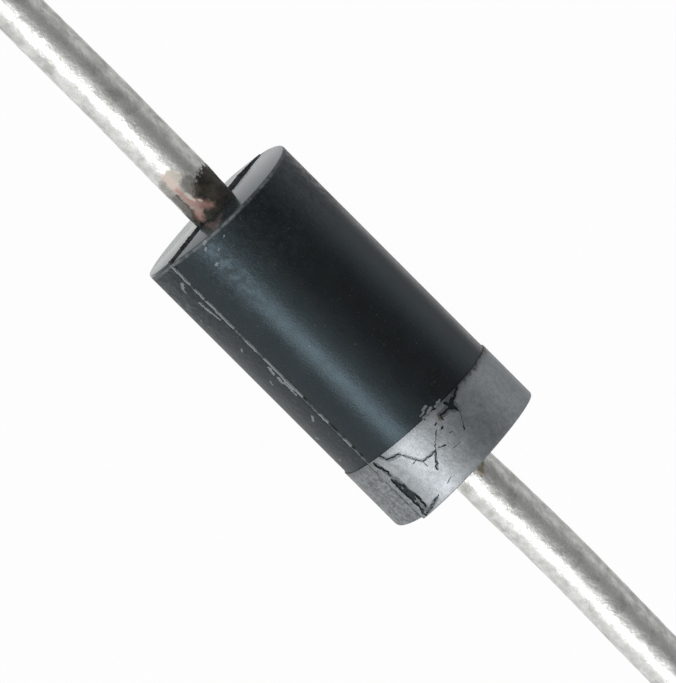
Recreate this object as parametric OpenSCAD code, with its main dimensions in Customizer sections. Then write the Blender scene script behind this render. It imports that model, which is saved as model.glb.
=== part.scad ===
// Axial rectifier diode in a moulded epoxy body, to the DO-204AL outline.
// The leads run along X with the cathode at +X, and the two mould halves meet at z = 0.
// The origin is the centre of the body. Sizes are in millimetres and angles in degrees.

/* [Moulded body] */
// Diameter of the moulded body
body_d = 2.65; // [2.3:0.05:3.4]
// Length of the body, measured on the parting plane
body_len = 5.15; // [4.1:0.05:7.4]
// Slope of each end face away from the parting plane, which frees it from the mould
end_draft = 3; // [1:0.5:8]
// How far the two mould halves are out of line along the leads
mould_shift = 0.035; // [0.01:0.005:0.06]
// Chamfer round the rim of each end face
rim_chamfer = 0.03; // [0.01:0.01:0.08]

/* [Moulding flash] */
// Thickness of the flash left between the mould halves
flash_t = 0.03; // [0.02:0.005:0.05]
// How far the flash stands out along the sides
flash_side = 0.02; // [0.01:0.005:0.05]
// How far the flash stands out across the end faces
flash_end = 0.03; // [0.03:0.01:0.1]
// Share of the flash that has broken away at the deepest nick
flash_ragged = 0.7; // [0.1:0.1:0.9]
// Distance between nicks in the flash
flash_pitch = 0.13; // [0.1:0.01:0.3]

/* [Leads] */
// Diameter of each lead over its plating
lead_d = 0.73; // [0.6:0.01:0.86]
// Length of each lead outside the body
lead_len = 25.4; // [20:0.2:30]
// Thickness of the tin plating, which covers the lead outside the body
plating_t = 0.01; // [0.005:0.001:0.02]
// Length next to the body over which the plating builds up to that thickness
plating_run = 0.6; // [0.5:0.05:1.25]
// Chamfer round the cut tip of each lead
tip_chamfer = 0.08; // [0.02:0.01:0.15]
// Diameter of the upset head that the die is soldered to
head_d = 1.5; // [1.3:0.05:1.7]
// Thickness of the upset head
head_t = 0.3; // [0.22:0.02:0.5]
// Length of the taper between the head and the wire
neck_len = 0.25; // [0.1:0.05:0.5]
// Width that the taper adds to the wire's radius at the head
neck_flare = 0.14; // [0.05:0.01:0.2]

/* [Die and solder] */
// Width of the square silicon die on its cathode face
die_w = 1.1; // [0.8:0.05:1.2]
// Thickness of the die
die_t = 0.25; // [0.15:0.01:0.35]
// Width that the bevelled edge takes off each side of the anode face
die_bevel = 0.08; // [0.02:0.01:0.15]
// Thickness of each solder layer
solder_t = 0.06; // [0.03:0.01:0.1]
// Bare rim of the die round each solder layer
solder_margin = 0.05; // [0.02:0.01:0.1]

/* [Junction coating] */
// How far the silicone bulges past the rims of the heads
coating_bulge = 0.19; // [0.1:0.01:0.25]
// How far the silicone laps over the rim of each head
coating_lap = 0.17; // [0.12:0.01:0.2]

/* [Cathode band] */
// Width of the printed band, from its edge to the end face
band_w = 1.07; // [0.6:0.01:1.6]
// Thickness of the ink
ink_t = 0.02; // [0.015:0.001:0.03]
// Width along the flash that the ink leaves bare
band_gap = 0.08; // [0.06:0.01:0.2]

/* [Hidden] */
$fn = 96;

body_r = body_d / 2;
half_len = body_len / 2;
lead_r = lead_d / 2;
wire_r = lead_r - plating_t;
tip_x = half_len + lead_len;

// Half of the stack between the two heads: half the die and one solder layer.
stack_half = die_t / 2 + solder_t;
mesa_w = die_w - 2 * die_bevel;

// The coating's rim is a round bead, centred at coating_c from the axis.
coating_r = stack_half + coating_lap;
coating_c = head_d / 2 + coating_bulge - coating_r;

// Nicks in the flash, as shares from 0 to 1 of the deepest nick.
side_nicks = ceil(body_len / flash_pitch);
end_nicks = ceil(body_d / flash_pitch);
front_nick = rands(0, 1, side_nicks + 1, 11);
rear_nick = rands(0, 1, side_nicks + 1, 23);
cathode_nick = rands(0, 1, end_nicks + 1, 37);
anode_nick = rands(0, 1, end_nicks + 1, 41);

// Turns a shape that stands along Z to lie along X, towards +X.
module along_x() {
    rotate([0, 90, 0]) children();
}

// Extrudes a profile drawn in the XZ plane through the width of the body.
module across_body(profile) {
    rotate([90, 0, 0])
        linear_extrude(height = 2 * body_d, center = true)
            polygon(profile);
}

// Outline of one mould half: end_x is its end at the parting plane, and start_x its other end.
function half_profile(start_x, end_x, start_slope) = [
    [start_x, 0],
    [end_x, 0],
    [end_x - body_d * tan(end_draft), body_d],
    [start_x + body_d * tan(start_slope), body_d],
];

// Cone that breaks the rim of the +X end face. Its axis is square to the drafted face.
module rim_cone() {
    translate([half_len, 0, 0])
        rotate([0, -90 - end_draft, 0])
            cylinder(h = 2 * body_len, r1 = body_r - rim_chamfer, r2 = body_r - rim_chamfer + 2 * body_len);
}

// The half of the body above the parting plane, without its lead holes.
module mould_half() {
    intersection() {
        along_x() cylinder(h = body_len, r = body_r, center = true);
        across_body(half_profile(-half_len, half_len, end_draft));
        rim_cone();
        mirror([1, 0, 0]) rim_cone();
    }
}

// Puts one shape in each mould half, with the halves out of line along X.
module both_halves() {
    translate([mould_shift / 2, 0, 0]) children();
    translate([-mould_shift / 2, 0, 0]) mirror([0, 0, 1]) children();
}

function nicked(reach, nick) = reach * (1 - flash_ragged * nick);

// Thin sheet of epoxy squeezed out between the mould halves, with a broken edge.
module flash_sheet() {
    front = [for (i = [0:side_nicks])
        [-half_len + body_len * i / side_nicks, -body_r - nicked(flash_side, front_nick[i])]];
    cathode_end = [for (i = [0:end_nicks])
        [half_len + nicked(flash_end, cathode_nick[i]), -body_r + body_d * i / end_nicks]];
    rear = [for (i = [0:side_nicks])
        [half_len - body_len * i / side_nicks, body_r + nicked(flash_side, rear_nick[i])]];
    anode_end = [for (i = [0:end_nicks])
        [-half_len - nicked(flash_end, anode_nick[i]), body_r - body_d * i / end_nicks]];
    linear_extrude(height = flash_t, center = true)
        polygon(concat(front, cathode_end, rear, anode_end));
}

// Section of the cathode lead: x is the radius, and y the distance from the middle of the die.
module lead_section() {
    head_back = stack_half + head_t;
    translate([0, stack_half]) square([head_d / 2 - head_t / 2, head_t]);
    translate([head_d / 2 - head_t / 2, stack_half + head_t / 2])
        intersection() {
            circle(r = head_t / 2);
            translate([0, -head_t]) square([head_t, 2 * head_t]);
        }
    polygon([
        [0, stack_half],
        [wire_r + neck_flare, stack_half],
        [wire_r + neck_flare, head_back],
        [wire_r, head_back + neck_len],
        [wire_r, half_len],
        [lead_r, half_len + plating_run],
        [lead_r, tip_x - tip_chamfer],
        [lead_r - tip_chamfer, tip_x],
        [0, tip_x],
    ]);
}

// Headed wire. Its plating is thin next to the body, where the dip didn't reach well.
module lead_form() {
    along_x() rotate_extrude() lead_section();
}

// Outer form of the silicone: a bead round the heads' rims, and a web between the heads.
module coating_form() {
    along_x() rotate_extrude() {
        translate([coating_c, 0]) intersection() {
            circle(r = coating_r);
            translate([0, -coating_r]) square([coating_r, 2 * coating_r]);
        }
        translate([0, -stack_half]) square([coating_c, 2 * stack_half]);
    }
}

// Bevelled edges of the die in one direction, narrow at the anode face.
module die_wedge() {
    linear_extrude(height = die_w, center = true)
        polygon([
            [-die_t / 2, -mesa_w / 2],
            [die_t / 2, -die_w / 2],
            [die_t / 2, die_w / 2],
            [-die_t / 2, mesa_w / 2],
        ]);
}

module moulded_body() {
    color([0.09, 0.09, 0.1])
        difference() {
            union() {
                both_halves() mould_half();
                flash_sheet();
            }
            lead_form();
            mirror([1, 0, 0]) lead_form();
            coating_form();
        }
}

module cathode_band() {
    band_end = half_len - rim_chamfer;
    color([0.62, 0.64, 0.66])
        difference() {
            both_halves()
                intersection() {
                    along_x() cylinder(h = body_len, r = body_r + ink_t);
                    across_body(half_profile(0, band_end, 0));
                }
            along_x() cylinder(h = body_len, r = body_r);
            cube([2 * (half_len - band_w), 2 * body_d, 2 * body_d], center = true);
            cube([2 * body_len, 2 * body_d, band_gap], center = true);
        }
}

module cathode_lead() {
    color([0.78, 0.78, 0.77]) lead_form();
}

module anode_lead() {
    color([0.78, 0.78, 0.77]) mirror([1, 0, 0]) lead_form();
}

module silicon_die() {
    color([0.28, 0.3, 0.36])
        intersection() {
            die_wedge();
            rotate([90, 0, 0]) die_wedge();
        }
}

module cathode_solder() {
    color([0.6, 0.6, 0.62])
        translate([die_t / 2, 0, 0])
            along_x() cylinder(h = solder_t, d = die_w - 2 * solder_margin);
}

module anode_solder() {
    color([0.6, 0.6, 0.62])
        translate([-stack_half, 0, 0])
            along_x() cylinder(h = solder_t, d = mesa_w - 2 * solder_margin);
}

module junction_coating() {
    color([0.92, 0.91, 0.88])
        difference() {
            coating_form();
            lead_form();
            mirror([1, 0, 0]) lead_form();
            silicon_die();
            cathode_solder();
            anode_solder();
        }
}

moulded_body();
cathode_band();
cathode_lead();
anode_lead();
silicon_die();
cathode_solder();
anode_solder();
junction_coating();
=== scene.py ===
import math
import random

import bpy
from mathutils import Matrix, Vector


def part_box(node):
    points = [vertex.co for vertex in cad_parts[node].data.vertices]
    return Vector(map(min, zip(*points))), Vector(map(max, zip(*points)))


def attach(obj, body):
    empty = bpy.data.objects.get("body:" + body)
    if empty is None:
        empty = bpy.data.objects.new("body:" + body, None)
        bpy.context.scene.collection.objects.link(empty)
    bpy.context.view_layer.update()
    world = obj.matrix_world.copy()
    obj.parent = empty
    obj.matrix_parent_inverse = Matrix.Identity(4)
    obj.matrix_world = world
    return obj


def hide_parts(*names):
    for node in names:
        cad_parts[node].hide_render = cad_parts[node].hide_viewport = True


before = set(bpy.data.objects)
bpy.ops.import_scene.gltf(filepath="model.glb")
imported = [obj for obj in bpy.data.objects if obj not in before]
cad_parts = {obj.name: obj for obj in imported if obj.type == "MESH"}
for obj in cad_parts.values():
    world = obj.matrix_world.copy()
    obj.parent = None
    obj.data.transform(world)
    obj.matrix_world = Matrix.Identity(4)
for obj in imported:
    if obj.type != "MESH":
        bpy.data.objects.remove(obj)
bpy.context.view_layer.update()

# ---------------------------------------------------------------- sizes, in millimetres
# Everything is shaped at one unit to the millimetre, and shrunk to metres when it is finished.
MM = 0.001


def reach(node_name):
    low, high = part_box(node_name)
    return Vector(low) / MM, Vector(high) / MM


BODY_HIGH = reach("moulded_body")[1]
BAND_LOW, BAND_HIGH = reach("cathode_band")
LEAD_LOW, LEAD_HIGH = reach("cathode_lead")

BODY_R = BODY_HIGH.z
INK_R = BAND_HIGH.z
HALF_LEN = 2.575          # half the body, measured on the parting plane
DRAFT = math.radians(3)
SHIFT = 0.035             # the two mould halves are this much out of line
RIM = 0.03                # rounding of the end rims
FLASH_T = 0.03
LEAD_R = 0.365
WIRE_R = 0.355
HEAD_R = LEAD_HIGH.z
HEAD_T = 0.3
NECK_LEN = 0.25
NECK_FLARE = 0.14
PLATING_RUN = 0.6         # the plating builds up over this length beside the body
TIP_CHAMFER = 0.08
TIN_LUMP, TIN_RIPPLE = 0.13, 0.012
INK_EDGE = 1.516          # where the printed band starts, at the axis
INK_SLANT, SLANT_ANGLE = 0.039, math.radians(150)
INK_LEAN = (INK_SLANT * math.cos(SLANT_ANGLE), -INK_SLANT * math.sin(SLANT_ANGLE))
INK_BARE = 0.0165         # the ink stays this far from the parting plane
INK_THICK = INK_R - BODY_R - 0.0008
INK_PAST_FACE = 0.003
BODY_SIDES = 192
LEAD_SIDES = 72
SMOOTH_ANGLE = math.radians(28)
VIEW_ANGLE = 49           # where the camera stands round the axis, from -Y towards +Z
VIEW_TILT = math.radians(8.2)
VIEW_SHIFT = (0.045, 0.086)
DISTANCE = 0.2            # from the camera to the part, in metres
FRAME_WIDTH = 9.643 * MM
SENSOR = 36


def on_round(x, angle, radius):
    """A point at x along the part and at an angle round it, counted from -Y towards +Z."""
    turn = math.radians(angle)
    return Vector((x, -radius * math.cos(turn), radius * math.sin(turn)))


# ---------------------------------------------------------------- camera and light
facing = on_round(0, VIEW_ANGLE, 1)
down_left = Vector((0, -facing.z, facing.y))
to_camera = facing * math.cos(VIEW_TILT) - Vector((math.sin(VIEW_TILT), 0, 0))
down_right = Vector((math.cos(VIEW_TILT), 0, 0)) + facing * math.sin(VIEW_TILT)
middle = (down_right * VIEW_SHIFT[0] + down_left * VIEW_SHIFT[1]) * MM

bpy.ops.object.select_all(action="DESELECT")
bpy.ops.object.camera_add(location=middle + to_camera * DISTANCE)
camera = bpy.context.object
across = (down_right - down_left).normalized()
upward = -(down_right + down_left).normalized()
camera.rotation_euler = Matrix((across, upward, to_camera)).transposed().to_euler()
camera.data.sensor_fit = "HORIZONTAL"
camera.data.sensor_width = SENSOR
camera.data.lens = SENSOR * DISTANCE / FRAME_WIDTH
camera.data.clip_start = 0.01
camera.data.clip_end = 20
bpy.context.scene.camera = camera
bpy.context.scene.view_settings.view_transform = "Standard"


def soft_box(name, direction, distance, wide, high, power):
    """A studio lamp that looks at the part from one side."""
    direction = Vector(direction).normalized()
    bpy.ops.object.light_add(type="AREA", location=direction * distance)
    lamp = bpy.context.object
    lamp.name = name
    lamp.rotation_euler = direction.to_track_quat("Z", "Y").to_euler()
    lamp.data.shape = "RECTANGLE"
    lamp.data.size = wide
    lamp.data.size_y = high
    lamp.data.energy = power
    lamp.data.color = (1, 1, 1)
    lamp.visible_camera = False


soft_box("front_soft_box", (0.143, -0.976, 0.165), distance=0.12, wide=0.12, high=0.04, power=0.088)


# ---------------------------------------------------------------- small helpers for materials
def add(tree, kind, inputs=(), **settings):
    """Adds a node. An input's value may be another node's output, and is then linked."""
    made = tree.nodes.new("ShaderNode" + kind)
    for name, value in settings.items():
        setattr(made, name, value)
    for key, value in dict(inputs).items():
        if isinstance(value, bpy.types.NodeSocket):
            tree.links.new(value, made.inputs[key])
        else:
            made.inputs[key].default_value = value
    return made


def maths(tree, operation, first, second=0.0, clamp=False):
    return add(tree, "Math", {0: first, 1: second}, operation=operation, use_clamp=clamp).outputs[0]


def plus(tree, first, second, clamp=False):
    return maths(tree, "ADD", first, second, clamp)


def minus(tree, first, second):
    return maths(tree, "SUBTRACT", first, second)


def times(tree, first, second):
    return maths(tree, "MULTIPLY", first, second)


def most(tree, first, second):
    return maths(tree, "MAXIMUM", first, second)


def noise(tree, place, size, detail=3.0, rough=0.55):
    """Noise from 0 to 1 whose lumps are about size millimetres across."""
    return add(tree, "TexNoise", {"Vector": place, "Scale": 1 / size, "Detail": detail,
                                  "Roughness": rough}).outputs[0]


def span(tree, value, low, high, out_low=0.0, out_high=1.0):
    """Turns the stretch from low to high into out_low to out_high, with soft ends."""
    return add(tree, "MapRange", {"Value": value, "From Min": low, "From Max": high,
                                  "To Min": out_low, "To Max": out_high},
               interpolation_type="SMOOTHSTEP").outputs[0]


def blend_colour(tree, share, first, second):
    made = add(tree, "Mix", {0: share}, data_type="RGBA")
    for index, value in ((6, first), (7, second)):
        if isinstance(value, bpy.types.NodeSocket):
            tree.links.new(value, made.inputs[index])
        else:
            made.inputs[index].default_value = (*value, 1)
    return made.outputs[2]


def coated(tree, under, mask, share, over):
    """Lays a colour over another where the mask is 1, share deep."""
    return blend_colour(tree, times(tree, mask, share), under, over)


def finish_named(name):
    """A new material with the place on the part in millimetres, whole and split in x, y and z."""
    material = bpy.data.materials.new(name)
    material.use_nodes = True
    tree = material.node_tree
    shader = tree.nodes["Principled BSDF"]
    where = add(tree, "TexCoord").outputs["Object"]
    place = add(tree, "VectorMath", {0: where, "Scale": 1 / MM}, operation="SCALE").outputs[0]
    parts = add(tree, "SeparateXYZ", {0: place})
    return material, tree, shader, place, parts


def link_in(tree, shader, **values):
    for name, value in values.items():
        socket = shader.inputs[name.replace("_", " ")]
        if isinstance(value, bpy.types.NodeSocket):
            tree.links.new(value, socket)
        else:
            socket.default_value = value


def bumped(tree, shader, height, depth):
    """Bump whose full height from 0 to 1 is depth millimetres."""
    made = add(tree, "Bump", {"Height": height, "Distance": depth * MM, "Strength": 1.0})
    tree.links.new(made.outputs[0], shader.inputs["Normal"])


def mark_group():
    """Node group: how much a place lies on a line between two points, from 0 to 1."""
    group = bpy.data.node_groups.new("worn_line", "ShaderNodeTree")
    for name, kind in (("Place", "Vector"), ("From", "Vector"), ("To", "Vector"),
                       ("Whole", "Float"), ("Gone", "Float"), ("Mask", "Float")):
        group.interface.new_socket(name, in_out="OUTPUT" if name == "Mask" else "INPUT",
                                   socket_type="NodeSocket" + kind)
    start = group.nodes.new("NodeGroupInput").outputs
    end = group.nodes.new("NodeGroupOutput").inputs

    def vector(operation, first, second=None, **more):
        inputs = {0: first}
        if second is not None:
            inputs[1] = second
        inputs.update(more)
        return add(group, "VectorMath", inputs, operation=operation)

    away = vector("SUBTRACT", start["Place"], start["From"]).outputs[0]
    run = vector("SUBTRACT", start["To"], start["From"]).outputs[0]
    along = maths(group, "DIVIDE", vector("DOT_PRODUCT", away, run).outputs["Value"],
                  maths(group, "ADD", vector("DOT_PRODUCT", run, run).outputs["Value"], 1e-9),
                  clamp=True)
    foot = vector("SCALE", run, Scale=along).outputs[0]
    gap = vector("DISTANCE", away, foot).outputs["Value"]
    mask = span(group, gap, start["Whole"], start["Gone"], 1.0, 0.0)
    group.links.new(mask, end["Mask"])
    return group


WORN_LINE = mark_group()


def marks(tree, place, lines, radius, soft=0.3):
    """Greatest mask of many lines, each (x, angle, x, angle, width) on a round of that radius.
    soft is the share of the width over which a line fades out on either side."""
    total = 0.0
    for x0, angle0, x1, angle1, width in lines:
        made = tree.nodes.new("ShaderNodeGroup")
        made.node_tree = WORN_LINE
        tree.links.new(place, made.inputs["Place"])
        made.inputs["From"].default_value = on_round(x0, angle0, radius)
        made.inputs["To"].default_value = on_round(x1, angle1, radius)
        made.inputs["Whole"].default_value = 0.5 * width * (1 - soft)
        made.inputs["Gone"].default_value = 0.5 * width * (1 + soft)
        total = most(tree, total, made.outputs[0])
    return total


def eaten(tree, mask, cloud, depth):
    """A soft mask whose edge is eaten into by a cloud, the more so the greater the depth."""
    swing = times(tree, minus(tree, cloud, 0.5), 2 * depth)
    return span(tree, plus(tree, mask, swing), 0.36, 0.64)


def wandering(tree, place, size, amount):
    """The place, pushed about a little so that edges of marks are ragged."""
    push = add(tree, "TexNoise", {"Vector": place, "Scale": 1 / size, "Detail": 3.0}).outputs["Color"]
    push = add(tree, "VectorMath", {0: push, 1: (0.5, 0.5, 0.5)}, operation="SUBTRACT").outputs[0]
    push = add(tree, "VectorMath", {0: push, "Scale": amount}, operation="SCALE").outputs[0]
    return add(tree, "VectorMath", {0: place, 1: push}, operation="ADD").outputs[0]


# ---------------------------------------------------------------- finishes
def moulding_compound():
    """Black filled epoxy: satin on the upper half, rougher and specked below the parting line."""
    material, tree, shader, place, parts = finish_named("moulding_compound")
    x, z = parts.outputs["X"], parts.outputs["Z"]
    from_line = maths(tree, "ABSOLUTE", z)
    below = span(tree, z, -0.015, -0.05)
    anode_third = span(tree, x, -0.9, -1.9)
    # the drafted end faces, and the rounding round them
    face_x = HALF_LEN - SHIFT / 2
    out_x = plus(tree, maths(tree, "ABSOLUTE", x), times(tree, from_line, math.tan(DRAFT)))
    end_face = span(tree, out_x, face_x - 0.012, face_x - 0.004)
    rim = times(tree, span(tree, out_x, HALF_LEN - 0.085, HALF_LEN - 0.050), minus(tree, 1.0, end_face))

    cloud = noise(tree, place, 0.30, 4.0)
    grain = noise(tree, place, 0.030, 3.0, 0.6)
    mottle = noise(tree, place, 0.10, 3.0, 0.6)
    ragged = wandering(tree, place, 0.04, 0.05)

    # torn epoxy along the flash, and light flecks just below it
    edge_zone = span(tree, from_line, 0.032, 0.016)
    bright_edge = times(tree, edge_zone, marks(tree, place, (
        (-2.46, 0, -2.20, 0, 0.10), (-2.00, 0, -1.92, 0, 0.12), (-1.77, 0, -1.69, 0, 0.12),
        (-1.60, 0, -1.32, 0, 0.12), (-0.98, 0, -0.84, 0, 0.10), (-0.60, 0, -0.30, 0, 0.14),
        (-0.28, 0, 0.06, 0, 0.14), (0.50, 0, 0.62, 0, 0.08), (1.00, 0, 1.08, 0, 0.08),
        (-2.3, 180, -1.9, 180, 0.12), (-0.9, 180, -0.2, 180, 0.12), (0.6, 180, 1.1, 180, 0.12)),
        BODY_R, 0.6))
    dull_edge = times(tree, edge_zone, span(tree, mottle, 0.40, 0.60, 0.10, 0.42))
    flecks = marks(tree, ragged, (
        (-2.23, -5, -2.17, -8, 0.050), (-2.16, -9, -2.08, -9, 0.028), (-1.85, -6.5, -1.68, -5.5, 0.048),
        (-1.66, -5, -1.49, -3.5, 0.034), (-0.50, -3, -0.40, -4, 0.055), (-0.30, -3.5, -0.22, -4, 0.055),
        (-0.20, -2.5, -0.05, -2.5, 0.050), (-0.02, -3, 0.05, -3, 0.035), (0.44, -7, 0.50, -10, 0.045),
        (0.78, -24, 0.76, -26, 0.050), (-0.33, -13, -0.27, -14, 0.030), (-1.62, -22, -1.60, -23, 0.035),
        (-1.10, -30, -1.08, -31, 0.030), (-0.95, -10, -0.92, -11, 0.035), (1.20, -22, 1.22, -24, 0.03),
        (-2.490, 31, -2.475, 29, 0.045), (-2.42, 28, -2.40, 27, 0.035), (-2.15, 26, -2.13, 25, 0.040),
        (-2.36, 42, -2.35, 41, 0.022), (-2.28, 34, -2.27, 33, 0.020)), BODY_R, 0.9)
    flecks = eaten(tree, flecks, grain, 1.0)
    bright_edge = times(tree, eaten(tree, bright_edge, grain, 0.9), 0.8)
    speck = span(tree, noise(tree, place, 0.042, 2.0, 0.5), 0.64, 0.74)
    speck = times(tree, speck, plus(
        tree, 0.10, plus(tree, times(tree, below, 0.35), times(tree, anode_third, 0.12))))
    pale = most(tree, times(tree, flecks, 0.75), most(tree, bright_edge, dull_edge))
    # painted highlight: a pale ragged line on the rounded rims of the ends, standing in for the light the
    # rounding catches; the same mask also makes the rim rougher
    painted_rim_highlight = times(tree, rim, span(tree, mottle, 0.38, 0.62, 0.30, 0.95))

    # a dull strip along the flash on the anode face, wider towards the rear
    reach_z = span(tree, parts.outputs["Y"], -0.1, 0.5, 0.05, 0.13)
    from_strip = plus(tree, maths(tree, "ABSOLUTE", minus(tree, z, 0.03)),
                      times(tree, minus(tree, mottle, 0.5), 0.16))
    strip = span(tree, from_strip, minus(tree, reach_z, 0.015), reach_z, 1.0, 0.0)
    strip = times(tree, strip, span(tree, x, -2.4, -2.5))
    end_face = times(tree, end_face, minus(tree, 1.0, strip))

    black = blend_colour(tree, cloud, (0.0085, 0.0090, 0.0092), (0.0135, 0.0142, 0.0146))
    black = coated(tree, black, below, 0.8, (0.013, 0.013, 0.012))
    # painted shade: a near-black line just below the flash, where the thin sheet overhangs the lower half
    painted_shade_under_flash = times(tree, span(tree, z, -0.075, -0.045), span(tree, z, -0.018, -0.030))
    black = coated(tree, black, painted_shade_under_flash, 0.8, (0.002, 0.002, 0.002))
    colour = blend_colour(tree, speck, black, (0.12, 0.125, 0.13))
    # lays the painted rim highlight over the colour
    colour = blend_colour(tree, painted_rim_highlight, colour, (0.15, 0.157, 0.162))
    colour = blend_colour(tree, pale, colour, (0.25, 0.263, 0.268))
    colour = blend_colour(tree, end_face, colour, (0.026, 0.034, 0.039))
    # scraps of ink beside the band
    scraps = eaten(tree, marks(tree, ragged, (
        (1.405, 55, 1.41, 52, 0.045), (1.44, 52, 1.45, 49, 0.030), (1.47, 57, 1.48, 53, 0.036),
        (1.50, 54, 1.51, 49, 0.045), (1.49, 64, 1.50, 59, 0.040)), BODY_R, 1.0), mottle, 0.9)
    colour = coated(tree, colour, scraps, 0.55, (0.26, 0.275, 0.28))
    # the printing ran over the flash inside the band
    inked = times(tree, span(tree, x, 1.46, 1.50), span(tree, from_line, 0.034, 0.024))
    inked = times(tree, inked, span(tree, mottle, 0.30, 0.60, 0.35, 0.95))
    colour = blend_colour(tree, inked, colour, (0.20, 0.21, 0.215))

    rough = plus(tree, span(tree, cloud, 0.3, 0.7, 0.28, 0.35), times(tree, below, 0.14))
    rough = plus(tree, rough, times(tree, anode_third, span(tree, mottle, 0.35, 0.65, -0.02, 0.16)))
    rough = add(tree, "Mix", {0: end_face, 2: rough, 3: span(tree, mottle, 0.3, 0.7, 0.13, 0.18)},
                data_type="FLOAT").outputs[0]
    dull = most(tree, most(tree, pale, painted_rim_highlight), times(tree, strip, 2.2))
    rough = plus(tree, rough, times(tree, dull, 0.3), clamp=True)

    lumps = times(tree, mottle, plus(
        tree, 0.12, plus(tree, times(tree, anode_third, 0.38), times(tree, below, 0.9))))
    uneven = plus(tree, times(tree, grain, 0.16), lumps)
    uneven = times(tree, uneven, minus(tree, 1.0, times(tree, end_face, 0.97)))
    bumped(tree, shader, uneven, 0.013)
    link_in(tree, shader, Base_Color=colour, Roughness=rough, IOR=1.47,
            Specular_Tint=(0.62, 0.86, 1.0, 1))
    return material


def band_ink():
    """Silver ink with metal flake, thin at its edge, and duller below the parting line."""
    material, tree, shader, place, parts = finish_named("band_ink")
    z = parts.outputs["Z"]
    below = span(tree, z, 0.10, 0.03)
    cloud = noise(tree, place, 0.22, 4.0)
    fine = noise(tree, place, 0.035, 3.0, 0.6)
    patch = noise(tree, place, 0.075, 3.0, 0.6)
    silver = blend_colour(tree, cloud, (0.285, 0.304, 0.320), (0.39, 0.415, 0.435))
    silver = blend_colour(tree, span(tree, fine, 0.30, 0.70, 0.16, 0.0), silver, (0.12, 0.125, 0.13))
    freckled = span(tree, plus(tree, times(tree, fine, 0.6), times(tree, patch, 0.4)), 0.40, 0.60, 0.10, 0.85)
    silver = blend_colour(tree, times(tree, below, freckled), silver, (0.155, 0.157, 0.155))
    silver = blend_colour(tree, span(tree, patch, 0.35, 0.65, 0.0, 0.22), silver, (0.10, 0.105, 0.11))
    pits = times(tree, span(tree, patch, 0.62, 0.70), plus(tree, times(tree, below, 0.35), 0.12))
    silver = blend_colour(tree, pits, silver, (0.045, 0.047, 0.048))
    # the ink is thin along its slanted edge, and the black shows through
    inside = add(tree, "VectorMath", {0: place, 1: (1, *INK_LEAN)}, operation="DOT_PRODUCT")
    inside = minus(tree, inside.outputs["Value"], INK_EDGE)
    rearward = add(tree, "VectorMath", {0: place, 1: (0, 0.866, 0.5)}, operation="DOT_PRODUCT")
    rearward = span(tree, rearward.outputs["Value"], 0.1, 0.5, 0.4, 1.0)
    thin = span(tree, plus(tree, inside, times(tree, minus(tree, patch, 0.35), 0.28)), 0.0, 0.16, 0.9, 0.0)
    silver = blend_colour(tree, times(tree, thin, rearward), silver, (0.020, 0.021, 0.022))
    stain = marks(tree, wandering(tree, place, 0.05, 0.04), ((1.625, 57.5, 1.665, 56.5, 0.085),), INK_R)
    silver = coated(tree, silver, stain, 0.7, (0.15, 0.135, 0.08))
    # the ink is crazed and grey beside its cracks
    crazed = eaten(tree, marks(tree, wandering(tree, place, 0.03, 0.012), (
        (1.60, 68, 1.70, 67, 0.16), (1.655, 66, 1.645, 58, 0.11), (1.52, 78, 1.60, 71, 0.10),
        (1.95, 40, 2.16, 33, 0.045), (1.95, 40, 1.935, 30, 0.050), (1.935, 30, 1.70, 24, 0.050),
        (1.64, 22, 1.60, 15, 0.080), (1.59, 14, 1.50, 11.5, 0.070), (1.90, 6.5, 2.20, 7.0, 0.15),
        (2.2, 8.0, 2.45, 7.5, 0.15), (2.47, 19, 2.54, 8, 0.07), (1.54, 4.6, 1.80, 6.6, 0.080)), INK_R, 0.8),
        fine, 0.45)
    silver = coated(tree, silver, crazed, 0.62, (0.070, 0.080, 0.088))
    rough = plus(tree, span(tree, cloud, 0.3, 0.7, 0.45, 0.52), times(tree, below, 0.08))
    bumped(tree, shader, plus(tree, times(tree, fine, 0.7), times(tree, patch, 0.6)), 0.004)
    link_in(tree, shader, Base_Color=silver, Roughness=rough, Metallic=0.88, IOR=1.45)
    return material


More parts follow.
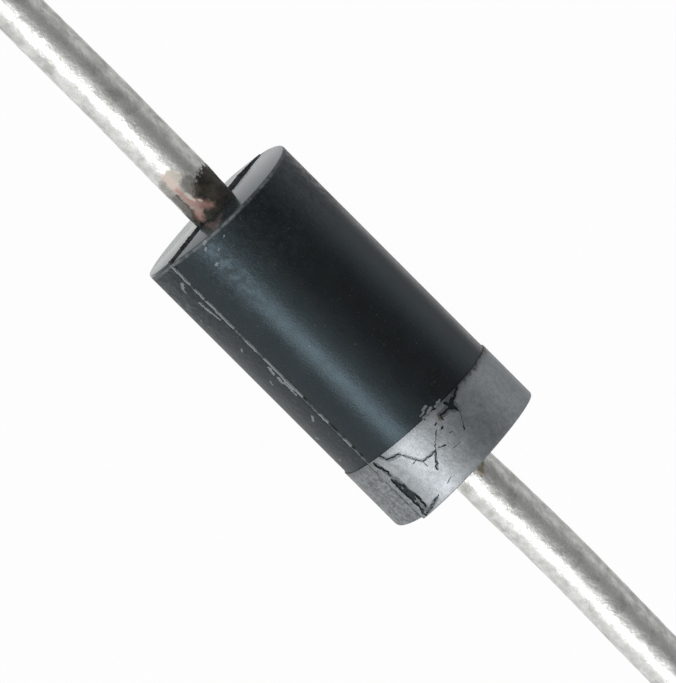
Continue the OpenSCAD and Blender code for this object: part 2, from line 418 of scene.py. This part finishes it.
def tinned_copper():
    """Dull tin with a rippled surface. Next to the body it thins out to stained, bare copper."""
    material, tree, shader, place, parts = finish_named("tinned_copper")
    lumps = noise(tree, place, 0.15, 4.0, 0.6)
    grain = noise(tree, place, 0.045, 3.0, 0.6)
    tin = blend_colour(tree, span(tree, lumps, 0.3, 0.7), (0.57, 0.57, 0.55), (0.78, 0.78, 0.77))
    tarnish = span(tree, noise(tree, place, 0.28, 4.0, 0.65), 0.50, 0.66)
    tin = coated(tree, tin, tarnish, 0.45, (0.34, 0.335, 0.31))
    ragged = wandering(tree, place, 0.09, 0.09)

    # anode end: burnt flux, a cream drop of flux, bare copper and a dark red line under it
    burnt = eaten(tree, marks(tree, ragged, (
        (-2.50, 74, -2.88, 78, 0.46), (-2.50, 49, -2.84, 58, 0.33), (-2.46, -10, -2.60, -2, 0.24),
        (-2.47, 119, -3.00, 108, 0.28), (-2.47, 150, -2.95, 150, 0.45), (-2.45, 30, -2.60, 30, 0.22),
        (-2.45, -60, -2.62, -60, 0.5), (-2.45, 210, -2.85, 210, 0.6)), WIRE_R, 0.9), grain, 0.55)
    smoky = eaten(tree, marks(tree, ragged, ((-3.12, 50, -2.90, 38, 0.24), (-3.02, 88, -2.95, 60, 0.30)),
                              WIRE_R, 0.9), grain, 0.5)
    copper = marks(tree, ragged, (
        (-3.17, 17, -3.00, 19, 0.060), (-3.00, 20, -2.89, 23, 0.085), (-2.89, 24, -2.81, 34, 0.125),
        (-2.81, 34, -2.73, 44, 0.120), (-2.73, 44, -2.67, 52, 0.080), (-2.82, 25, -2.74, 17, 0.110),
        (-2.74, 17, -2.64, 10, 0.100)), WIRE_R, 0.9)
    cream = marks(tree, ragged, ((-3.375, 31, -3.305, 31, 0.215), (-3.40, 20, -3.26, 19, 0.12)),
                  LEAD_R, 0.25)
    rosy = marks(tree, ragged, ((-3.43, 19, -3.18, 18, 0.12),), LEAD_R, 0.9)
    rim_light = marks(tree, ragged, (
        (-3.42, 45, -3.33, 53, 0.022), (-3.33, 53, -3.22, 42, 0.022), (-3.05, 28, -2.90, 32, 0.045),
        (-2.90, 34, -2.82, 42, 0.030)), LEAD_R, 0.6)
    rust = marks(tree, ragged, ((-3.10, 5, -2.90, 7, 0.035), (-2.90, 7, -2.78, 6, 0.050),
                                (-2.78, 5, -2.70, -3, 0.075)), WIRE_R, 0.6)
    grime = eaten(tree, marks(tree, ragged, ((-3.05, -8, -2.60, -12, 0.16),), WIRE_R, 0.9), grain, 0.5)
    # cathode end: a little brown flux and a pink trace of copper
    brown = marks(tree, ragged, ((2.65, 80, 2.74, 70, 0.050), (2.73, 62, 2.80, 56, 0.060),
                                 (2.68, 60, 2.84, 50, 0.030)), WIRE_R, 0.7)
    pink = marks(tree, ragged, ((2.60, 6, 2.70, 2, 0.045), (2.78, 54, 2.80, 52, 0.03)), WIRE_R, 0.8)

    # the plating all round those marks is dull and grey
    spoiled = eaten(tree, marks(tree, ragged, ((-3.14, 35, -2.45, 35, 0.42), (-3.22, 4, -2.45, -4, 0.40)),
                                WIRE_R, 0.8), grain, 0.4)
    grey = blend_colour(tree, span(tree, grain, 0.3, 0.7), (0.20, 0.19, 0.17), (0.42, 0.40, 0.37))
    soot = blend_colour(tree, span(tree, lumps, 0.3, 0.7), (0.006, 0.005, 0.004), (0.062, 0.054, 0.036))
    bare = blend_colour(tree, lumps, (0.33, 0.180, 0.145), (0.60, 0.37, 0.32))
    colour = coated(tree, tin, spoiled, 0.85, grey)
    colour = coated(tree, colour, cream, 0.95, (0.56, 0.53, 0.46))
    colour = coated(tree, colour, rosy, 0.75, (0.66, 0.53, 0.48))
    colour = coated(tree, colour, grime, 0.65, (0.10, 0.095, 0.085))
    colour = coated(tree, colour, smoky, 0.66, (0.11, 0.105, 0.095))
    colour = coated(tree, colour, burnt, 0.97, soot)
    colour = coated(tree, colour, rust, 0.80, (0.075, 0.036, 0.026))
    colour = coated(tree, colour, copper, 0.85, bare)
    colour = coated(tree, colour, rim_light, 0.8, (0.66, 0.61, 0.53))
    colour = coated(tree, colour, brown, 0.75, (0.33, 0.28, 0.17))
    colour = coated(tree, colour, pink, 0.6, (0.60, 0.44, 0.39))

    crust = most(tree, most(tree, burnt, cream), most(tree, copper, rust))
    crust = most(tree, crust, most(tree, times(tree, smoky, 0.8), spoiled))
    metal = times(tree, 0.80, minus(tree, 1.0, times(tree, crust, 0.92)))
    rough = plus(tree, span(tree, lumps, 0.3, 0.7, 0.46, 0.34), times(tree, crust, 0.22))
    height = plus(tree, times(tree, lumps, 0.8), times(tree, grain, 0.3))
    bumped(tree, shader, height, 0.016)
    link_in(tree, shader, Base_Color=colour, Roughness=rough, Metallic=metal, IOR=1.45)
    return material


def inner_finish(name, dark, light, size, metallic, roughness, depth):
    """Finish of a part that is sealed inside the body."""
    material, tree, shader, place, parts = finish_named(name)
    cloud = noise(tree, place, size, 4.0)
    link_in(tree, shader, Base_Color=blend_colour(tree, cloud, dark, light), Metallic=metallic,
            Roughness=span(tree, cloud, 0.3, 0.7, roughness - 0.06, roughness + 0.06), IOR=1.45)
    bumped(tree, shader, cloud, depth)
    return material


MOULDING = moulding_compound()
INK = band_ink()
TIN = tinned_copper()
SILICON = inner_finish("silicon", (0.06, 0.065, 0.085), (0.11, 0.115, 0.14), 0.2, 0.7, 0.25, 0.001)
SOLDER = inner_finish("solder", (0.42, 0.42, 0.43), (0.60, 0.60, 0.61), 0.12, 1.0, 0.4, 0.006)
SILICONE = inner_finish("silicone", (0.62, 0.61, 0.57), (0.78, 0.77, 0.73), 0.3, 0.0, 0.45, 0.004)


# ---------------------------------------------------------------- small helpers for shapes
def mesh_mode(mode):
    bpy.ops.object.mode_set(mode=mode)


def only(piece):
    bpy.ops.object.select_all(action="DESELECT")
    piece.select_set(True)
    bpy.context.view_layer.objects.active = piece


def pick(piece, kind, wanted):
    """Selects just the edges or faces for which wanted(centre, run or normal) is true."""
    mesh_mode("OBJECT")
    mesh = piece.data
    for group in (mesh.vertices, mesh.edges, mesh.polygons):
        for item in group:
            item.select = False
    if kind == "EDGE":
        for e in mesh.edges:
            a, b = (mesh.vertices[i].co for i in e.vertices)
            e.select = bool(wanted((a + b) / 2, b - a))
    else:
        for f in mesh.polygons:
            f.select = bool(wanted(f.center, f.normal))
    mesh_mode("EDIT")
    bpy.ops.mesh.select_mode(type=kind)


def keep_side(piece, point, normal, cap=True):
    """Cuts the piece by a plane and keeps what lies behind the normal."""
    only(piece)
    mesh_mode("EDIT")
    bpy.ops.mesh.select_all(action="SELECT")
    bpy.ops.mesh.bisect(plane_co=point, plane_no=normal, clear_outer=True, use_fill=cap, threshold=1e-6)
    mesh_mode("OBJECT")


def with_modifier(piece, kind, **settings):
    only(piece)
    made = piece.modifiers.new(kind.lower(), kind)
    for name, value in settings.items():
        setattr(made, name, value)
    bpy.ops.object.modifier_apply(modifier=made.name)


def rippled(piece, size, height, group):
    """Moves a group's surface in and out by up to height in all, in soft lumps of that size."""
    texture = bpy.data.textures.new(piece.name + "_ripple", "CLOUDS")
    texture.noise_scale = size
    texture.noise_depth = 2
    with_modifier(piece, "DISPLACE", texture=texture, strength=height, mid_level=0.5,
                  direction="NORMAL", vertex_group=group)


def joined(name, pieces):
    bpy.ops.object.select_all(action="DESELECT")
    for piece in pieces:
        piece.select_set(True)
    bpy.context.view_layer.objects.active = pieces[0]
    if len(pieces) > 1:
        bpy.ops.object.join()
    bpy.context.object.name = name
    return bpy.context.object


def taken_out(piece, tool):
    """Takes the tool's shape out of the piece, and the tool away."""
    with_modifier(piece, "BOOLEAN", operation="DIFFERENCE", object=tool, solver="EXACT", use_self=True)
    bpy.data.objects.remove(tool)


def turned(name, outline, sides):
    """Turns an outline of (x, radius) points about the part's axis into a closed piece."""
    bpy.ops.object.select_all(action="DESELECT")
    bpy.ops.mesh.primitive_circle_add(vertices=3, radius=0.01, location=(0, 0, 0))
    piece = bpy.context.object
    piece.name = name
    mesh_mode("EDIT")
    bpy.ops.mesh.select_all(action="SELECT")
    bpy.ops.mesh.merge(type="CENTER")
    x0, r0 = outline[0]
    bpy.ops.transform.translate(value=(x0, 0, r0))
    for x1, r1 in outline[1:]:
        bpy.ops.mesh.extrude_region_move(TRANSFORM_OT_translate={"value": (x1 - x0, 0, r1 - r0)})
        x0, r0 = x1, r1
    bpy.ops.mesh.select_all(action="SELECT")
    bpy.ops.mesh.spin(steps=sides, angle=math.tau, center=(0, 0, 0), axis=(1, 0, 0))
    bpy.ops.mesh.select_all(action="SELECT")
    bpy.ops.mesh.remove_doubles(threshold=1e-5)
    bpy.ops.mesh.normals_make_consistent(inside=False)
    mesh_mode("OBJECT")
    return piece


def done(piece, material, slot, *stands_for):
    """Shrinks the finished piece to metres, dresses it and hangs it on the frame."""
    only(piece)
    piece.scale = (MM, MM, MM)
    bpy.ops.object.transform_apply(location=True, rotation=True, scale=True)
    piece.data.materials.clear()
    piece.data.materials.append(material)
    bpy.ops.object.shade_smooth_by_angle(angle=SMOOTH_ANGLE)
    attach(piece, "root")
    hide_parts(*stands_for)


# ---------------------------------------------------------------- leads
def steps(start, end, size):
    count = max(1, round((end - start) / size))
    return [start + (end - start) * i / count for i in range(1, count + 1)]


def lead_outline(end_of_wire):
    """Half section of the cathode lead, from its head to its cut tip."""
    inner = LEAD_LOW.x
    back = inner + HEAD_T
    edge = HEAD_T / 2
    outline = [(inner, 0), (inner, 0.3), (inner, HEAD_R - edge)]
    for turn in (30, 60, 90, 120, 150):
        outline.append((inner + edge - edge * math.cos(math.radians(turn)),
                        HEAD_R - edge + edge * math.sin(math.radians(turn))))
    outline += [(back, HEAD_R - edge), (back, WIRE_R + NECK_FLARE), (back + NECK_LEN, WIRE_R)]
    outline += [(x, WIRE_R) for x in steps(back + NECK_LEN, HALF_LEN - 0.06, 0.1)]
    outline += [(x, WIRE_R + (LEAD_R - WIRE_R) * max(0, x - HALF_LEN) / PLATING_RUN)
                for x in steps(HALF_LEN - 0.06, HALF_LEN + PLATING_RUN, 0.055)]
    outline += [(x, LEAD_R) for x in steps(HALF_LEN + PLATING_RUN, end_of_wire - TIP_CHAMFER, 0.085)]
    outline += [(end_of_wire, LEAD_R - TIP_CHAMFER), (end_of_wire, 0.15), (end_of_wire, 0)]
    return outline


# How far the wires stray from the axis, towards the camera's lower left: (x, stray).
WAVE = ((-28, 0), (-9, 0), (-6.5, -0.020), (-4.9, -0.027), (-3.2, -0.014), (-2.4, 0), (2.4, 0),
        (2.62, 0.017), (4.5, -0.015), (6.6, 0.012), (9, 0), (28, 0))


def wave(x):
    for (x0, stray0), (x1, stray1) in zip(WAVE, WAVE[1:]):
        if x0 <= x <= x1:
            share = (x - x0) / (x1 - x0)
            return stray0 + (stray1 - stray0) * share * share * (3 - 2 * share)
    return 0.0


def lead(name, side):
    outline = [(side * x, r) for x, r in lead_outline(LEAD_HIGH.x)]
    piece = turned(name, outline, LEAD_SIDES)
    outside = piece.vertex_groups.new(name="outside")
    outside.add([v.index for v in piece.data.vertices
                 if HALF_LEN + 0.02 < abs(v.co.x) < LEAD_HIGH.x - TIP_CHAMFER], 1.0, "REPLACE")
    rippled(piece, TIN_LUMP, TIN_RIPPLE, "outside")
    for v in piece.data.vertices:
        v.co += down_left * wave(v.co.x)
    return piece


done(lead("cathode_lead_wire", 1), TIN, "tinned_copper", "cathode_lead")
done(lead("anode_lead_wire", -1), TIN, "tinned_copper", "anode_lead")


# ---------------------------------------------------------------- moulded body
def mould_half(side):
    """One half of the body: side is 1 above the parting plane and -1 below it."""
    bpy.ops.object.select_all(action="DESELECT")
    bpy.ops.mesh.primitive_cylinder_add(vertices=BODY_SIDES, radius=BODY_R, depth=2 * HALF_LEN + 0.4,
                                        rotation=(0, math.pi / 2, 0))
    piece = bpy.context.object
    piece.name = "upper_half" if side > 0 else "lower_half"
    bpy.ops.object.transform_apply(location=False, rotation=True, scale=False)
    for end in (1, -1):
        keep_side(piece, (end * HALF_LEN, 0, 0), (end * math.cos(DRAFT), 0, side * math.sin(DRAFT)))
    pick(piece, "EDGE", lambda at, run: abs(run.x) < 0.2)
    bpy.ops.mesh.bevel(offset=RIM, segments=3, profile=0.5, affect="EDGES")
    mesh_mode("OBJECT")
    pick(piece, "EDGE", lambda at, run: abs(run.x) > 1)
    bpy.ops.mesh.subdivide(number_cuts=70)
    mesh_mode("OBJECT")
    keep_side(piece, (0, 0, 0), (0, 0, -side))
    mesh_mode("EDIT")
    bpy.ops.mesh.select_all(action="SELECT")
    bpy.ops.transform.translate(value=(side * SHIFT / 2, 0, 0))
    mesh_mode("OBJECT")
    return piece


def worn_corner(piece, at_line, depth):
    """Takes the rear corner off the anode end, where it was knocked, from at_line outwards."""
    face = min(v.co.x for v in piece.data.vertices)
    long = BODY_R - at_line
    keep_side(piece, (face, at_line, 0), (-long, depth, 0))
    return piece


def ink_half(side):
    """Ink on one half, from its slanted edge round the rim to the end face."""
    piece = mould_half(side)
    keep_side(piece, (INK_EDGE, 0, 0), (-1, -INK_LEAN[0], -INK_LEAN[1]), cap=False)
    keep_side(piece, (0, 0, side * INK_BARE), (0, 0, -side), cap=False)
    pick(piece, "FACE", lambda at, normal: abs(normal.x) > 0.98 or math.hypot(at.y, at.z) < BODY_R - 0.05)
    bpy.ops.mesh.delete(type="FACE")
    mesh_mode("OBJECT")
    with_modifier(piece, "SOLIDIFY", thickness=INK_THICK, offset=1.0, use_even_offset=True)
    keep_side(piece, (HALF_LEN + side * SHIFT / 2 + INK_PAST_FACE, 0, 0),
              (math.cos(DRAFT), 0, side * math.sin(DRAFT)))
    return piece


def chip(x0, angle0, x1, angle1, width):
    """A short tool that stands through the ink along one stretch of a crack."""
    a, b = on_round(x0, angle0, BODY_R + 0.01), on_round(x1, angle1, BODY_R + 0.01)
    out = Vector((0, a.y + b.y, a.z + b.z)).normalized()
    run = b - a
    if run.length < 1e-6:
        run = Vector((1, 0, 0))
    ahead = (run - out * run.dot(out)).normalized()
    turn = Matrix((ahead, out.cross(ahead), out)).transposed().to_euler()
    bpy.ops.object.select_all(action="DESELECT")
    bpy.ops.mesh.primitive_cylinder_add(vertices=7, radius=0.5, depth=0.09, location=(a + b) / 2,
                                        rotation=turn, scale=((b - a).length + 1.3 * width, width, 1))
    return bpy.context.object


# Cracks and bare places in the ink, each stretch as (x, angle, x, angle, width).
CRACKS = (
    (1.50, 79, 1.57, 74.5, 0.040), (1.57, 74.5, 1.62, 69.5, 0.050), (1.62, 69, 1.665, 67, 0.070),
    (1.60, 70, 1.68, 66, 0.085), (1.665, 67, 1.73, 67.5, 0.050), (1.73, 67.5, 1.80, 68, 0.024),
    (1.635, 68, 1.57, 65, 0.050),
    (1.655, 67, 1.655, 61, 0.030), (1.655, 61, 1.635, 57.5, 0.036), (1.655, 57.5, 1.72, 57, 0.030),
    (1.81, 68, 1.98, 63.5, 0.010), (1.99, 63, 2.035, 62, 0.036), (1.78, 53.5, 1.785, 52.5, 0.030),
    (1.675, 52.5, 1.685, 51, 0.030), (1.75, 49.5, 1.80, 47, 0.026), (1.80, 47, 1.86, 43.5, 0.011),
    (1.86, 43.5, 1.95, 40, 0.018), (1.95, 40, 2.06, 36, 0.028), (2.06, 36, 2.16, 33, 0.032),
    (1.95, 40, 1.95, 35, 0.024), (1.95, 35, 1.935, 30.5, 0.019), (1.93, 30, 1.81, 26.5, 0.012),
    (1.81, 26.5, 1.70, 24, 0.008), (1.70, 24, 1.63, 22, 0.018), (1.63, 22, 1.60, 17, 0.024),
    (1.60, 17, 1.58, 13.5, 0.026), (1.58, 13.5, 1.47, 11.5, 0.022), (1.935, 30.5, 2.03, 30, 0.014),
    (1.85, 28, 1.87, 24.5, 0.018), (1.99, 47, 1.975, 45.5, 0.026), (1.975, 45.5, 1.94, 43, 0.014),
    (2.10, 49, 2.11, 55, 0.009), (2.37, 36, 2.41, 31, 0.012), (1.90, 54, 1.92, 56, 0.014),
    (1.52, 4.0, 1.62, 5.0, 0.050), (1.62, 5.4, 1.73, 7.6, 0.055), (1.73, 7.6, 1.80, 6.6, 0.030),
    (1.86, 4.8, 2.10, 4.6, 0.060), (2.10, 4.8, 2.30, 4.8, 0.060), (2.30, 4.6, 2.58, 4.4, 0.050),
    (1.90, 6.6, 2.00, 7.2, 0.050), (2.00, 7.6, 2.12, 7.4, 0.055), (2.12, 7.8, 2.22, 9.4, 0.070),
    (2.22, 10.0, 2.32, 10.2, 0.060), (2.32, 10.2, 2.46, 9.0, 0.045), (1.94, 5.8, 2.02, 5.8, 0.045),
    (2.08, 6.0, 2.20, 6.4, 0.060), (2.20, 7.8, 2.27, 7.4, 0.060), (2.34, 6.4, 2.40, 5.8, 0.032),
    (2.45, 22, 2.47, 18, 0.022), (2.47, 18, 2.50, 15, 0.038), (2.50, 15, 2.52, 10, 0.034),
    (2.52, 10, 2.55, 6, 0.040),
    (1.44, 64, 1.51, 58, 0.045), (1.43, 56, 1.50, 53, 0.040), (1.47, 51, 1.52, 49, 0.030),
)


def crack_tool():
    """One ragged tool from many chips, which cuts the cracks and bare places into the ink."""
    chance = random.Random(5)
    spread = math.degrees(1 / BODY_R)
    chips = []
    for x0, angle0, x1, angle1, width in CRACKS:
        long = math.hypot(x1 - x0, math.radians(angle1 - angle0) * BODY_R)
        count = max(1, round(long / (0.028 + 0.35 * width)))
        stops = [(x0, angle0)]
        for i in range(1, count):
            share, off = i / count, 0.40 * width + 0.004
            stops.append((x0 + (x1 - x0) * share + chance.uniform(-off, off),
                          angle0 + (angle1 - angle0) * share + chance.uniform(-off, off) * spread))
        stops.append((x1, angle1))
        for (xa, aa), (xb, ab) in zip(stops, stops[1:]):
            chips.append(chip(xa, aa, xb, ab, width * chance.uniform(0.65, 1.2)))
    return joined("crack_tool", chips)


def flash():
    """Thin sheet squeezed out between the halves, with a broken edge all round."""
    chance = random.Random(11)
    bpy.ops.object.select_all(action="DESELECT")
    bpy.ops.mesh.primitive_plane_add(size=1, location=(0, 0, -FLASH_T / 2))
    piece = bpy.context.object
    piece.name = "flash_sheet"
    piece.scale = (2 * HALF_LEN, 2 * BODY_R, 1)
    bpy.ops.object.transform_apply(location=True, rotation=False, scale=True)
    # cut and healed once, which settles the order of its corners and so where each draw falls
    pick(piece, "EDGE", lambda at, run: True)
    bpy.ops.mesh.subdivide(number_cuts=5)
    bpy.ops.mesh.select_all(action="SELECT")
    bpy.ops.mesh.dissolve_limited(angle_limit=0.01)
    pick(piece, "EDGE", lambda at, run: True)
    bpy.ops.mesh.subdivide(number_cuts=99)
    mesh_mode("OBJECT")
    side_out, end_out = BODY_HIGH.y - BODY_R, BODY_HIGH.x - HALF_LEN
    for v in piece.data.vertices:
        if abs(v.co.x) > HALF_LEN - 1e-4:
            worn = min(1.0, (BODY_R - v.co.y) / 0.5) if v.co.x < 0 else 1.0
            v.co.x += math.copysign(end_out * worn * chance.uniform(0.35, 0.98), v.co.x)
            v.co.y *= 0.997
        elif abs(v.co.y) > BODY_R - 1e-4:
            v.co.y += math.copysign(side_out * chance.uniform(0.2, 0.97), v.co.y)
    mesh_mode("EDIT")
    bpy.ops.mesh.select_all(action="SELECT")
    bpy.ops.mesh.extrude_region_move(TRANSFORM_OT_translate={"value": (0, 0, FLASH_T)})
    bpy.ops.mesh.select_all(action="SELECT")
    bpy.ops.mesh.normals_make_consistent(inside=False)
    mesh_mode("OBJECT")
    return piece


body = joined("body_shell", [worn_corner(mould_half(1), 1.05, 0.020),
                             worn_corner(mould_half(-1), 0.80, 0.045),
                             worn_corner(flash(), 0.75, 0.055)])
done(body, MOULDING, "moulding_compound", "moulded_body")

band = joined("band_print", [ink_half(1), ink_half(-1)])
taken_out(band, crack_tool())
done(band, INK, "band_ink", "cathode_band")

# ---------------------------------------------------------------- parts sealed inside
for node_name, material in (("silicon_die", SILICON), ("cathode_solder", SOLDER),
                            ("anode_solder", SOLDER), ("junction_coating", SILICONE)):
    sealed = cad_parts[node_name]
    if not sealed.material_slots:
        sealed.data.materials.append(material)
    for sealed_slot in sealed.material_slots:
        sealed_slot.material = material


# ---------------------------------------------------------------- floor and surroundings
def seen_share(tree):
    """1 for rays from the camera, from gloss and through clear things, and 0 for the rest."""
    path = add(tree, "LightPath").outputs
    seen = most(tree, path["Is Camera Ray"], path["Is Glossy Ray"])
    return most(tree, seen, path["Is Transmission Ray"])


bpy.ops.object.select_all(action="DESELECT")
bpy.ops.mesh.primitive_plane_add(size=1.2, location=(0, 0, BAND_LOW.z * MM))
floor = bpy.context.object
floor.name = "pale_floor"
paper = bpy.data.materials.new("white_paper")
paper.use_nodes = True
paper_tree = paper.node_tree
paper_tree.nodes.clear()
matt = add(paper_tree, "BsdfDiffuse", {"Color": (0.82, 0.82, 0.82, 1)})
bright = add(paper_tree, "Emission", {"Color": (1, 1, 1, 1), "Strength": 1.0})
share = maths(paper_tree, "MULTIPLY", seen_share(paper_tree), 0.97)
far = add(paper_tree, "VectorMath", {0: add(paper_tree, "TexCoord").outputs["Object"]}, operation="LENGTH")
dim = span(paper_tree, far.outputs["Value"], 5 * MM, 20 * MM, 0.08, 0.66)
mirrored = maths(paper_tree, "SUBTRACT", 1.0, add(paper_tree, "LightPath").outputs["Is Camera Ray"])
paper_tree.links.new(maths(paper_tree, "SUBTRACT", 1.0, maths(paper_tree, "MULTIPLY", dim, mirrored)),
                     bright.inputs["Strength"])
mixed = add(paper_tree, "MixShader", {0: share, 1: matt.outputs[0], 2: bright.outputs[0]})
out = add(paper_tree, "OutputMaterial")
paper_tree.links.new(mixed.outputs[0], out.inputs["Surface"])
floor.data.materials.append(paper)

world = bpy.data.worlds.new("studio")
bpy.context.scene.world = world
world.use_nodes = True
sky = world.node_tree
sky.nodes.clear()
height = add(sky, "SeparateXYZ", {0: add(sky, "TexCoord").outputs["Generated"]}).outputs["Z"]
ramp = add(sky, "ValToRGB", {0: maths(sky, "MAXIMUM", height, 0.0)})
points = ramp.color_ramp.elements
points[0].position, points[0].color = 0.0, (0.36, 0.36, 0.36, 1)
points[1].position, points[1].color = 1.0, (0.10, 0.10, 0.10, 1)
for at, level in ((0.20, 0.60), (0.38, 0.82), (0.64, 0.74), (0.80, 0.38), (0.93, 0.12)):
    points.new(at).color = (level, level, level, 1)
tent = add(sky, "Background", {"Color": ramp.outputs[0], "Strength": 1.0})
backdrop = add(sky, "Background", {"Color": (1, 1, 1, 1), "Strength": 1.0})
camera_ray = add(sky, "LightPath").outputs["Is Camera Ray"]
sky_mix = add(sky, "MixShader", {0: camera_ray, 1: tent.outputs[0], 2: backdrop.outputs[0]})
sky_out = add(sky, "OutputWorld")
sky.links.new(sky_mix.outputs[0], sky_out.inputs["Surface"])
